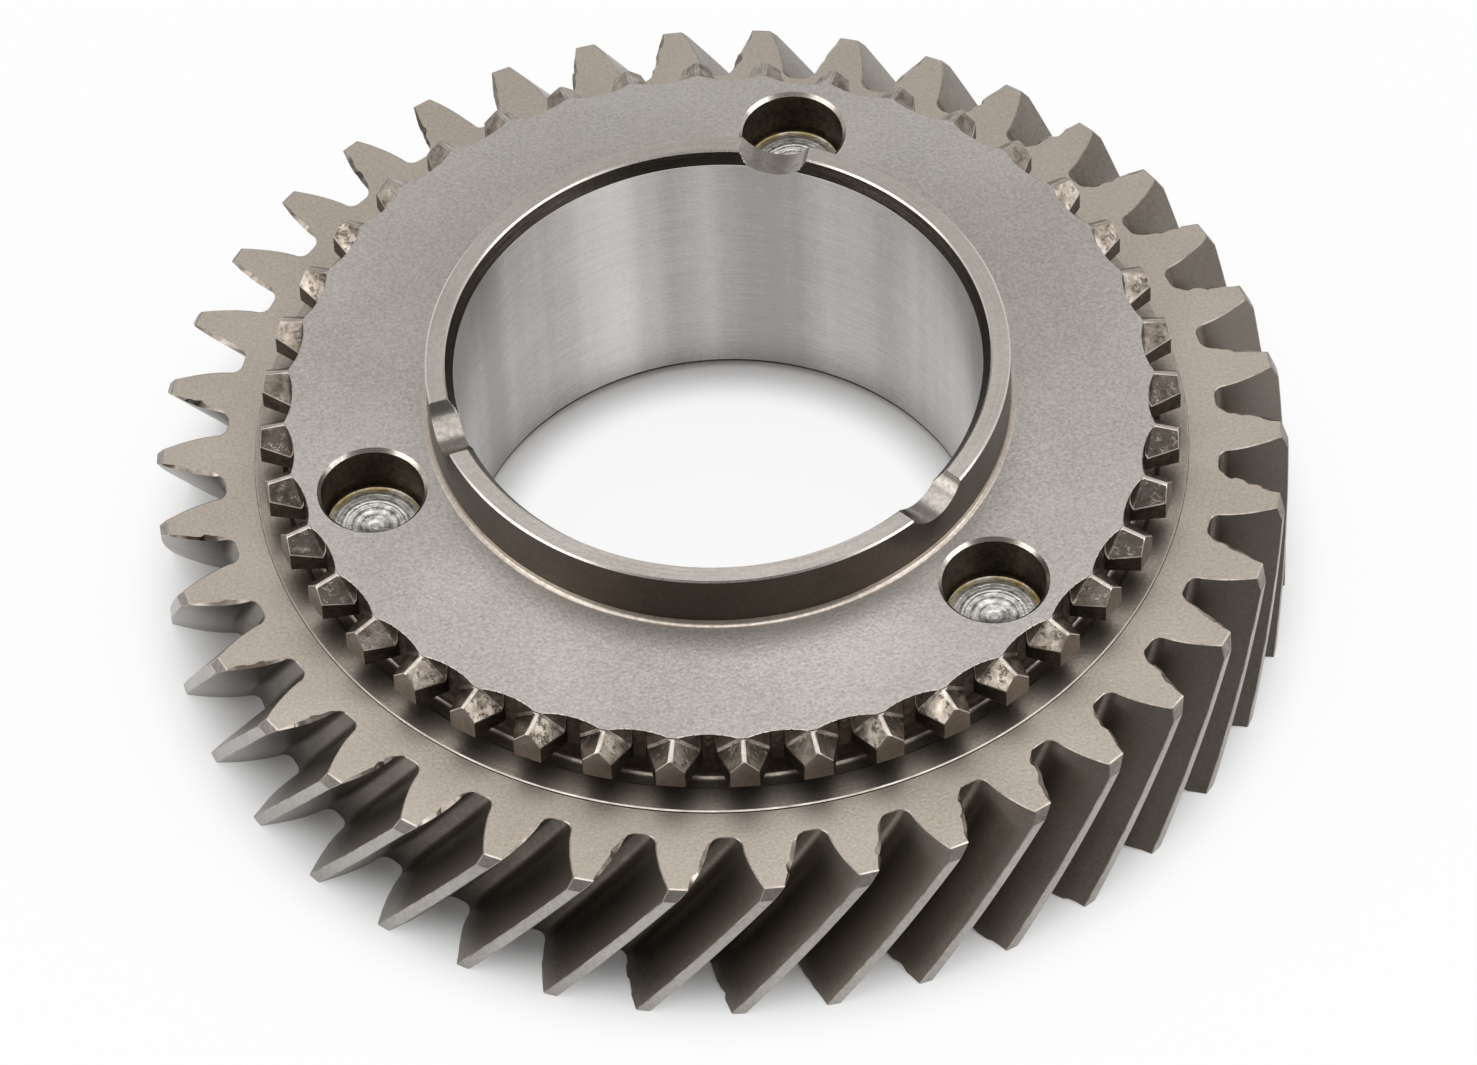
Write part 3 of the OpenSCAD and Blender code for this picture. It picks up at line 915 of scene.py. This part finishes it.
def clutch_cell():
    """One clutch tooth with its share of the hub edge, ridge along +X: vertices, and faces with materials."""
    cell = cell_blank()
    cutters = [roof_cutter(1), roof_cutter(-1), gap_cutter(1), gap_cutter(-1)]
    for cutter in cutters:
        modifier = cell.modifiers.new("cut", "BOOLEAN")
        modifier.operation, modifier.solver, modifier.object = "DIFFERENCE", "EXACT", cutter
    mesh = bpy.data.meshes.new_from_object(cell.evaluated_get(bpy.context.evaluated_depsgraph_get()))
    for used in cutters + [cell]:
        bpy.data.objects.remove(used)
    bm = bmesh.new()
    bm.from_mesh(mesh)
    bmesh.ops.remove_doubles(bm, verts=bm.verts, dist=CELL_WELD)
    bmesh.ops.delete(bm, geom=[f for f in bm.faces if on_seam(f)], context="FACES")
    made = bmesh.ops.bevel(bm, geom=[e for e in bm.edges if is_crisp(e)], offset=DOG_EDGE_W, segments=1,
                           profile=0.5, affect="EDGES", clamp_overlap=False)
    edge_faces = set(made["faces"])
    # The broken edge along the hub face lies flatter, so that it shows as a light line, made lighter still by
    # its painted highlight colour
    for v in {v for f in edge_faces for v in f.verts}:
        drop = HUB_Z - v.co.z
        if 0.0 < drop < HUB_EDGE_DROP and math.hypot(v.co.x, v.co.y) < HUB_EDGE_R:
            v.co.z = HUB_Z - HUB_EDGE_SHARE * drop
    bm.verts.index_update()
    bm.normal_update()
    verts = [tuple(v.co) for v in bm.verts]
    faces = [([v.index for v in f.verts], cell_zone(f, f in edge_faces)) for f in bm.faces]
    bm.free()
    return verts, faces


def make_clutch():
    clutch = Builder("gear_clutch")
    verts, faces = clutch_cell()
    for k in range(DOG_COUNT):
        turn = Matrix.Rotation(DOG_PHASE + 2 * math.pi * k / DOG_COUNT, 3, "Z")
        index = clutch.add([tuple(turn @ Vector(v)) for v in verts])
        for face, zone in faces:
            clutch.face([index[i] for i in face], zone)
    clutch.finish(sharp_degrees=28.0, weld=0.004)


make_rim()
make_hub()
make_clutch()

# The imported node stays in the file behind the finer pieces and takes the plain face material
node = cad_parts["gear"]
node.data.materials.clear()
node.data.materials.append(MATERIALS["rim_face"])


# ---- floor, lamps, world and camera, in metres

FLOOR_HALF = 8
FLOOR_DARK = 0.79
FLOOR_LIGHT = 0.81
# Radius from and to, value from and to: mirrored floor, seen floor outside the gear with a halo of painted
# shade near the teeth, seen floor in the bore with painted light
TABLE_END = (0.3, 0.9, 1.0, 0.3)
SHADE_HALO = (0.087, 0.106, 0.05, 0.92)
BORE_LIGHT = (0.036, 0.046, 0.85, 0.0)


def floor_material():
    """Pale floor that shows lighter to the camera and in reflections, and keeps the soft shadow, with painted
    shade in a halo round the gear and painted light inside the bore.
    """
    material = bpy.data.materials.new("floor")
    g = Graph(material)
    tone = g.mix(g.noise(3.0, 3.0), [FLOOR_DARK] * 3, [FLOOR_LIGHT] * 3)
    g.link(tone, g.shader.inputs["Base Color"])
    g.shader.inputs["Roughness"].default_value = 0.9
    g.shader.inputs["Specular IOR Level"].default_value = 0.2
    r = g.radius()
    path = g.node("ShaderNodeLightPath")
    # The lit table ends well outside the picture, so the metal's reflections grow dark towards the horizon
    reflected = g.math("MAXIMUM", path.outputs["Is Glossy Ray"], path.outputs["Is Transmission Ray"])
    mirrored = g.math("MULTIPLY", reflected, g.ramp(r, *TABLE_END))
    seen = g.math("MAXIMUM", path.outputs["Is Camera Ray"], mirrored)
    # Less glow near the teeth leaves a halo of painted shade round the gear
    far = g.ramp(r, *SHADE_HALO, "SMOOTHSTEP")
    # Extra glow on the floor inside the bore, painted light over its shadow
    bore_light = g.ramp(r, *BORE_LIGHT, "SMOOTHSTEP")
    glow = g.node("ShaderNodeEmission")
    mix = g.node("ShaderNodeMixShader")
    g.link(g.math("MULTIPLY", seen, g.math("MAXIMUM", far, bore_light)), mix.inputs[0])
    g.link(g.shader.outputs[0], mix.inputs[1])
    g.link(glow.outputs[0], mix.inputs[2])
    g.link(mix.outputs[0], g.tree.nodes["Material Output"].inputs[0])
    return material


floor_mesh = bpy.data.meshes.new("floor")
corners = [(x * FLOOR_HALF, y * FLOOR_HALF, 0) for x, y in ((-1, -1), (1, -1), (1, 1), (-1, 1))]
floor_mesh.from_pydata(corners, [], [[0, 1, 2, 3]])
floor_mesh.materials.append(floor_material())
floor = bpy.data.objects.new("floor", floor_mesh)
bpy.context.scene.collection.objects.link(floor)

# Name, place, target, size, power in watts, colour
LAMPS = (
    ("top_softbox", (0, -0.06, 0.9), (0, -0.06, 0), (1.4, 1.2), 7.6, (1.0, 1.0, 1.0)),
    ("left_softbox", (-1.25, -0.42, 0.8), (0, 0, 0), (1.1, 0.8), 6.0, (1.0, 0.99, 0.975)),
    ("right_softbox", (1.25, -0.42, 0.8), (0, 0, 0), (1.1, 0.8), 6.0, (1.0, 1.0, 1.0)),
)


def lamp(name, place, target, size, power, colour):
    data = bpy.data.lights.new(name, "AREA")
    data.shape, data.size, data.size_y = "RECTANGLE", size[0], size[1]
    data.energy, data.color = power, colour
    made = bpy.data.objects.new(name, data)
    made.location = place
    made.rotation_mode = "QUATERNION"
    made.rotation_quaternion = (Vector(target) - Vector(place)).to_track_quat("-Z", "Y")
    made.visible_camera = False
    bpy.context.scene.collection.objects.link(made)


for settings in LAMPS:
    lamp(*settings)

# Axis of the direction, its value from and to, light level from and to
STUDIO = ((1, -0.75, 0.25, 0.3, 1.0), (2, 0.1, 0.72, 0.8, 0.37))


def world_light():
    """A light studio: bright low down behind and beside the object, dim above and by the photographer."""
    world = bpy.data.worlds.new("studio")
    bpy.context.scene.world = world
    world.use_nodes = True
    tree = world.node_tree
    direction = tree.nodes.new("ShaderNodeTexCoord")
    parts = tree.nodes.new("ShaderNodeSeparateXYZ")
    tree.links.new(direction.outputs["Generated"], parts.inputs[0])
    level = None
    for axis, *values in STUDIO:
        shade = tree.nodes.new("ShaderNodeMapRange")
        shade.interpolation_type = "SMOOTHSTEP"
        for name, value in zip(("From Min", "From Max", "To Min", "To Max"), values):
            shade.inputs[name].default_value = value
        tree.links.new(parts.outputs[axis], shade.inputs["Value"])
        if level is None:
            level = shade.outputs[0]
        else:
            product = tree.nodes.new("ShaderNodeMath")
            product.operation = "MULTIPLY"
            tree.links.new(level, product.inputs[0])
            tree.links.new(shade.outputs[0], product.inputs[1])
            level = product.outputs[0]
    tree.links.new(level, tree.nodes["Background"].inputs["Color"])


world_light()

# The photographer's camera, worked out from the ellipses in the photograph
CAMERA_PLACE = (0.0, -0.954971, 1.171390)
CAMERA_RIGHT = Vector((0.99895892, -0.03617831, -0.02778845))
CAMERA_UP = Vector((0.04559446, 0.77194968, 0.6340464))
CAMERA_FORWARD = Vector((0.00148744, 0.63465331, -0.77279555))
SENSOR_W_MM = 36.0
LENS_MM = 211.127

camera_data = bpy.data.cameras.new("camera")
camera_data.sensor_width = SENSOR_W_MM
camera_data.lens = LENS_MM
camera_data.clip_start, camera_data.clip_end = 0.05, 50.0
camera = bpy.data.objects.new("camera", camera_data)
turn = Matrix((CAMERA_RIGHT, CAMERA_UP, -CAMERA_FORWARD)).transposed()
camera.matrix_world = Matrix.Translation(CAMERA_PLACE) @ turn.to_4x4()
bpy.context.scene.collection.objects.link(camera)
bpy.context.scene.camera = camera
bpy.context.scene.view_settings.view_transform = "Standard"
